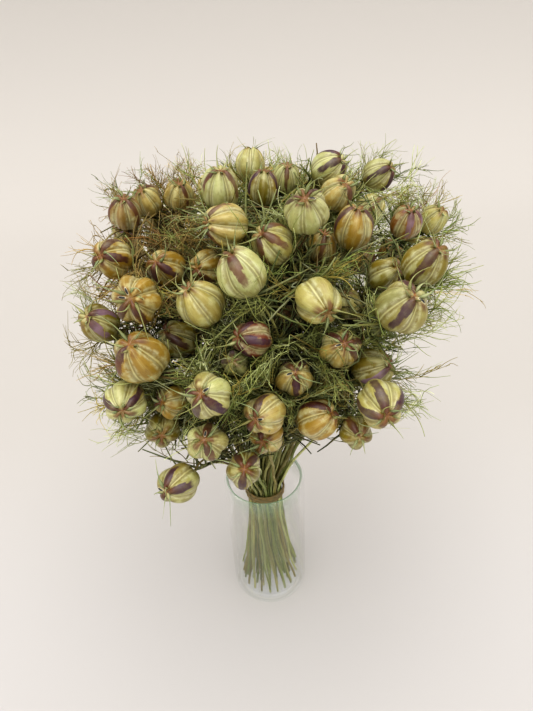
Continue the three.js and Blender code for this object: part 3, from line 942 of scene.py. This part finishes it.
def mainStems(made, rng):
    # every sprig's stem, round, along the smooth line through its rings and narrower towards the pod;
    # it sways by a slow sine wave that dies away at the tie
    lines = np.array([through(sprig["stem"], stemLooks["points"]) for sprig in sprigs])
    own = slice(0, len(sprigs))
    inPods = podMiddles[own] - podAxes[own] * podRadii[own, None] * 0.9
    lines = np.concatenate([lines, inPods[:, None]], 1)
    count, points = lines.shape[:2]
    share = np.linspace(0, 1, points)[None, :]
    height = lines[:, :, 2]
    loose = smoothStep(np.abs(height - stemLooks["tie"]), 0.01, 0.035) * smoothStep(height, 0.0, 0.02)
    for axis in range(2):
        turns = rng.uniform(60, 130, (count, 1))
        wave = np.sin(turns * height + rng.uniform(0, 6.28, (count, 1)))
        lines[:, :, axis] += stemLooks["sway"] * loose * wave
    full = np.array([sprig["stemRadius"] for sprig in sprigs])[:, None]
    radii = full * rng.uniform(0.72, 1.0, (count, 1)) * (1.0 - 0.3 * smoothStep(share, 0.35, 0.9))
    stemTubes(made, lines, radii, stemLooks["sides"], rng)
    return lines


def stalks(made, lines, rng):
    # thin leaf stalks among the stems: each goes from one stem's foot over to a stem near it
    count, points = stemLooks["stalks"], 28
    first = rng.permutation(len(lines))[:count]
    foot = lines[:, 0]
    second = np.argsort(np.linalg.norm(foot[first][:, None] - foot[None], axis=-1), axis=1)[:, 3]
    share = np.linspace(0, 1, points)[None, :, None]
    top = (lines[:, :, 2] < stemLooks["stalkTop"]).sum(1).min() - 1
    steps = np.linspace(0, top, points).astype(int)
    paths = lines[first][:, steps] * (1 - share) + lines[second][:, steps] * share
    paths[:, :, 2] += rng.uniform(0.002, 0.03, (count, 1)) * (1 - share[..., 0])
    radii = rng.uniform(*stemLooks["stalkRadius"], (count, 1)) * (1 - 0.3 * share[..., 0])
    stemTubes(made, paths, radii, 6, rng)


def sideBranches(made, lines, rng):
    # a curved branch to each side pod: a cubic from a stem below it to the pod's base, with the
    # stretches that leave and arrive each 0.4 of the distance
    spots = lines[:, 24:-6].reshape(-1, 3)
    paths = []
    share = np.linspace(0, 1, 20)[:, None]
    for pod in pods[len(sprigs):]:
        base = pod["middle"] - pod["axis"] * pod["radius"] * 0.95
        wanted = base - pod["axis"] * 18 * mm - np.array([0, 0, 32 * mm])
        low = spots[spots[:, 2] < base[2] - 24 * mm]
        start = low[np.argmin(np.linalg.norm(low - wanted, axis=1))]
        long = np.linalg.norm(base - start)
        leave = start + np.array([0, 0, 0.4 * long])
        arrive = base - pod["axis"] * 0.4 * long
        paths.append((1 - share) ** 3 * start + 3 * (1 - share) ** 2 * share * leave
                     + 3 * (1 - share) * share ** 2 * arrive + share ** 3 * base)
    radii = stemLooks["branchRadius"] * np.ones((len(paths), len(share)))
    stemTubes(made, np.array(paths), radii, 6, rng)


def stems():
    rng = np.random.default_rng(stemLooks["seed"])
    made = Surface()
    lines = mainStems(made, rng)
    stalks(made, lines, rng)
    sideBranches(made, lines, rng)
    return made.make("stems", stemSkin())


stemPiece = stems()
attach(stemPiece, "root")
print("stems made:", len(stemPiece.data.polygons), "faces")


bandLooks = {
    "turns": 3,
    "points": 96,
    "sides": 12,
    "thickness": 1.5 * mm,
    "wall": 1.6 * mm,
    "ripple": 0.25 * mm,
}


def bandSkin():
    sh = Shader("tanRubber")
    place = sh.wire(sh.node("ShaderNodeTexCoord"), "Object")
    tone = sh.noise(place, 260, 4)
    colour = sh.over(sh.step(tone, 0.4, 0.7), opaque(paint(112, 98, 54)), (142, 114, 62))
    return sh.finish(Base_Color=colour, Roughness=0.5, Normal=sh.bump(tone, 0.15, 0.2 * mm))


def rubberBand():
    # turns of a rounded strip side by side: each a ring about the upright axis, whose radius ripples
    # by a cosine as if stems pressed out, with a section of a cosine out and a flattened sine up
    low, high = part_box("rubber_band")
    inner = (high.x - low.x) / 2 - bandLooks["wall"]
    step = (high.z - low.z) / bandLooks["turns"]
    angle = np.arange(bandLooks["points"]) * 2 * math.pi / bandLooks["points"]
    made = Surface()
    turn = (np.arange(bandLooks["sides"]) * 2 * math.pi / bandLooks["sides"])[None, :]
    for index in range(bandLooks["turns"]):
        v = angle[:, None]
        ripple = bandLooks["ripple"] * np.cos(21 * v + index)
        wide = inner + bandLooks["thickness"] / 2 + ripple
        middle = low.z + step * (index + 0.5) + 0.5 * mm * np.sin(v + 2.4 * index) * (index - 1)
        out = wide + bandLooks["thickness"] / 2 * np.cos(turn)
        up = middle + step * 0.47 * np.sign(np.sin(turn)) * np.abs(np.sin(turn)) ** 0.7
        points = np.stack([out * np.cos(v), out * np.sin(v), up + 0 * out], -1)
        count, sides = len(angle), bandLooks["sides"]
        row, column = np.arange(count)[:, None], np.arange(sides)[None, :]
        nextRow, nextColumn = (row + 1) % count, (column + 1) % sides
        corners = [row * sides + column, nextRow * sides + column,
                   nextRow * sides + nextColumn, row * sides + nextColumn]
        quads = np.stack(corners, -1).reshape(-1, 4)
        made.add(points, [quads], [np.zeros((len(quads), 4, 2))])
    return made.make("tie", bandSkin())


tie = rubberBand()
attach(tie, "root")
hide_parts("rubber_band")
print("band made")


vaseLooks = {
    "wall": 4.6 * mm,
    "floor": 9 * mm,
    "heel": 9.5 * mm,
    "underside": 29 * mm,
    "innerRound": 6 * mm,
    "sides": 128,
    "body": 0.14,  # how solid the glass looks, from 0 to 1
    "lipTint": 0.9,
    "lipInset": 1.1 * mm,
    "lipLine": (2.1 * mm, 1.1 * mm),  # from where to where the lip's tint fades in
}


def roundCorner(middleOut, middleUp, radius, start, stop, count):
    # points (out, up) on part of a circle, between two angles in degrees
    angle = np.radians(np.linspace(start, stop, count))
    return np.stack([middleOut + radius * np.cos(angle), middleUp + radius * np.sin(angle)], -1)


def vase():
    # an outline turned about the upright axis: underside, rounded heel, wall, rounded lip, inner wall,
    # rounded inner corner and floor, as points (out, up), each row a ring at that radius and height
    low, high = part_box("glass_vase")
    radius, height = (high.x - low.x) / 2, high.z
    wall, heel = vaseLooks["wall"], vaseLooks["heel"]
    lip, corner = wall / 2, vaseLooks["innerRound"]
    inner = radius - wall
    straight = np.linspace(0.15, 0.85, 8)
    outer = np.stack([np.full(8, radius), heel + (height - lip - heel) * straight], -1)
    inside = np.stack([np.full(8, inner), height - lip - (height - lip - heel) * straight], -1)
    outline = np.concatenate([
        [[0.2 * mm, 0.0], [vaseLooks["underside"] * 0.6, 0.0], [vaseLooks["underside"], 0.0]],
        roundCorner(radius - heel, heel, heel, -80, 0, 12),
        outer,
        roundCorner(radius - lip, height - lip, lip, 0, 180, 22),
        inside,
        roundCorner(inner - corner, vaseLooks["floor"] + corner, corner, 0, -90, 10),
        [[inner * 0.5, vaseLooks["floor"]], [0.2 * mm, vaseLooks["floor"]]],
    ])
    sides = vaseLooks["sides"]
    turn = np.arange(sides) * 2 * math.pi / sides
    out, up = outline[:, :1], outline[:, 1:]
    points = np.stack([out * np.cos(turn), out * np.sin(turn), up + 0 * turn], -1)
    faces, mapping = roundFaces(1, len(outline), sides)
    caps, capMapping = endFaces(1, len(outline), sides)
    made = Surface()
    # edge is 1 near a circle that lies the inset out from the inner wall and the inset below the top,
    # and 0 elsewhere
    inset = vaseLooks["lipInset"]
    fromLine = np.hypot(out - inner - inset, up - height + inset) + 0 * turn
    edge = smoothStep(fromLine, *vaseLooks["lipLine"])
    made.add(points, [faces, caps], [mapping, capMapping], edge=np.repeat(edge[..., None], 3, -1))
    return made.make("vase", vaseGlass())


def vaseGlass():
    # clear glass, faintly green, thinned with plain transparency, with a green line along the lip's
    # inner edge; it lets light through to what it shades
    sh = Shader("clearVaseGlass")
    glass = sh.node("ShaderNodeBsdfPrincipled", None, {
        "Base Color": (0.94, 0.985, 0.96, 1), "Roughness": 0.03, "IOR": 1.45, "Transmission Weight": 1.0,
        "Alpha": vaseLooks["body"]})
    lip = sh.node("ShaderNodeBsdfPrincipled", None, {
        "Base Color": opaque(paint(170, 200, 170)), "Roughness": 0.15, "Alpha": 0.8})
    edge, _, _ = sh.parts(sh.attribute("edge"))
    body = sh.node("ShaderNodeMixShader", None, {
        0: edge * vaseLooks["lipTint"], 1: sh.wire(glass, 0), 2: sh.wire(lip, 0)})
    clear = sh.node("ShaderNodeBsdfTransparent", None, {"Color": (0.95, 0.97, 0.96, 1)})
    path = sh.node("ShaderNodeLightPath")
    mixed = sh.node("ShaderNodeMixShader", None, {
        0: sh.wire(path, "Is Shadow Ray"), 1: sh.wire(body, 0), 2: sh.wire(clear, 0)})
    sh.node("ShaderNodeOutputMaterial", None, {0: sh.wire(mixed, 0)})
    return sh.material


vasePiece = vase()
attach(vasePiece, "root")
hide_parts("glass_vase")
print("vase made")


stageLooks = {
    "halfWidth": 2.6,
    "front": -1.6,
    "back": 1.1,
    "bend": 1.0,
    "wallHeight": 2.6,
}


def sweep():
    # a floor that bends up into a wall: straight, a quarter circle, then straight; painted light and
    # shade make it a little lighter on the floor in front and darker behind and up the wall
    looks = stageLooks
    bend = roundCorner(looks["back"], looks["bend"], looks["bend"], -90, 0, 16)
    top = [looks["back"] + looks["bend"], looks["wallHeight"]]
    path = np.concatenate([[[looks["front"], 0.0]], bend, [top]])
    across = np.array([-looks["halfWidth"], looks["halfWidth"]])
    points = np.empty((len(path), 2, 3))
    points[..., 0] = across
    points[..., 1] = path[:, :1]
    points[..., 2] = path[:, 1:]
    row = np.arange(len(path) - 1)
    quads = np.stack([row * 2, row * 2 + 1, row * 2 + 3, row * 2 + 2], -1)
    made = Surface()
    made.add(points, [quads], [np.zeros((len(quads), 4, 2))])
    sh = Shader("paleBackdrop")
    _, away, _ = sh.parts(sh.wire(sh.node("ShaderNodeTexCoord"), "Object"))
    # painted light and shade: lighter on the floor in front, darker behind and up the wall
    colour = sh.over(sh.step(away, -0.1, 0.35), opaque(paint(201, 197, 194)), (195, 190, 184))
    return made.make("backdrop", sh.finish(Base_Color=colour, Roughness=0.9))


def standing(right, up, back, place):
    # the matrix of a lamp or camera whose own x, y and z axes point right, up and back
    columns = [list(map(float, column)) for column in (right, up, back, place)]
    return Matrix([[column[i] for column in columns] for i in range(3)] + [[0, 0, 0, 1]])


def softSun(name, origin, softness, strength):
    # even light from the direction of origin, from a disc that is softness degrees across
    data = bpy.data.lights.new(name, "SUN")
    data.angle = math.radians(softness)
    data.energy = strength
    data.color = studio["lampColour"]
    lamp = added(name, data)
    back = unit(np.array(origin))
    right = unit(np.cross([0.3, 1.0, 0.1], back))
    lamp.matrix_world = standing(right, np.cross(back, right), back, back)


def roomLight():
    # an even room, brighter in reflections and through glass than as a light on what is matt
    world = bpy.data.worlds.new("studio")
    sh = Shader("studio", world)
    path = sh.node("ShaderNodeLightPath")
    strength = studio["shine"] - (studio["shine"] - studio["fill"]) * sh.wire(path, "Is Diffuse Ray")
    sky = sh.node("ShaderNodeBackground", None, {"Color": studio["fillColour"], "Strength": strength})
    output = sh.node("ShaderNodeOutputWorld")
    sh.tree.links.new(sky.outputs[0], output.inputs[0])
    bpy.context.scene.world = world


studio = {
    "overhead": ((0.02, -0.26, 1.0), 66, 2.25),
    "front": ((-0.25, -1.0, 0.4), 80, 0.45),
    "lampColour": (1.0, 0.99, 0.975),
    "fill": 0.52,
    "fillColour": (1.0, 0.99, 0.985, 1.0),
    "shine": 0.6,
}
backdrop = sweep()
softSun("overheadSoftbox", *studio["overhead"])
softSun("frontSoftbox", *studio["front"])
roomLight()

view = {
    "standOff": 348 * mm,
    "height": 519 * mm,
    "aside": 8.3 * mm,
    "pitch": 33.2,
    "roll": -3.0,
    "lens": 26.0,
}


def placeCamera():
    data = bpy.data.cameras.new("camera")
    data.lens = view["lens"]
    data.sensor_width = 36
    data.clip_start = 0.02
    camera = added("camera", data)
    pitch, roll = math.radians(view["pitch"]), math.radians(view["roll"])
    forward = np.array([0.0, math.cos(pitch), -math.sin(pitch)])
    level = np.array([1.0, 0.0, 0.0])
    upright = np.cross(level, forward)
    right = level * math.cos(roll) + upright * math.sin(roll)
    up = np.cross(right, forward)
    place = (view["aside"], -view["standOff"], view["height"])
    camera.matrix_world = standing(right, up, -forward, place)
    bpy.context.scene.camera = camera


placeCamera()
bpy.context.scene.view_settings.view_transform = "Standard"
bpy.context.scene.view_settings.look = "Medium High Contrast"
print("stage, lights and camera set")
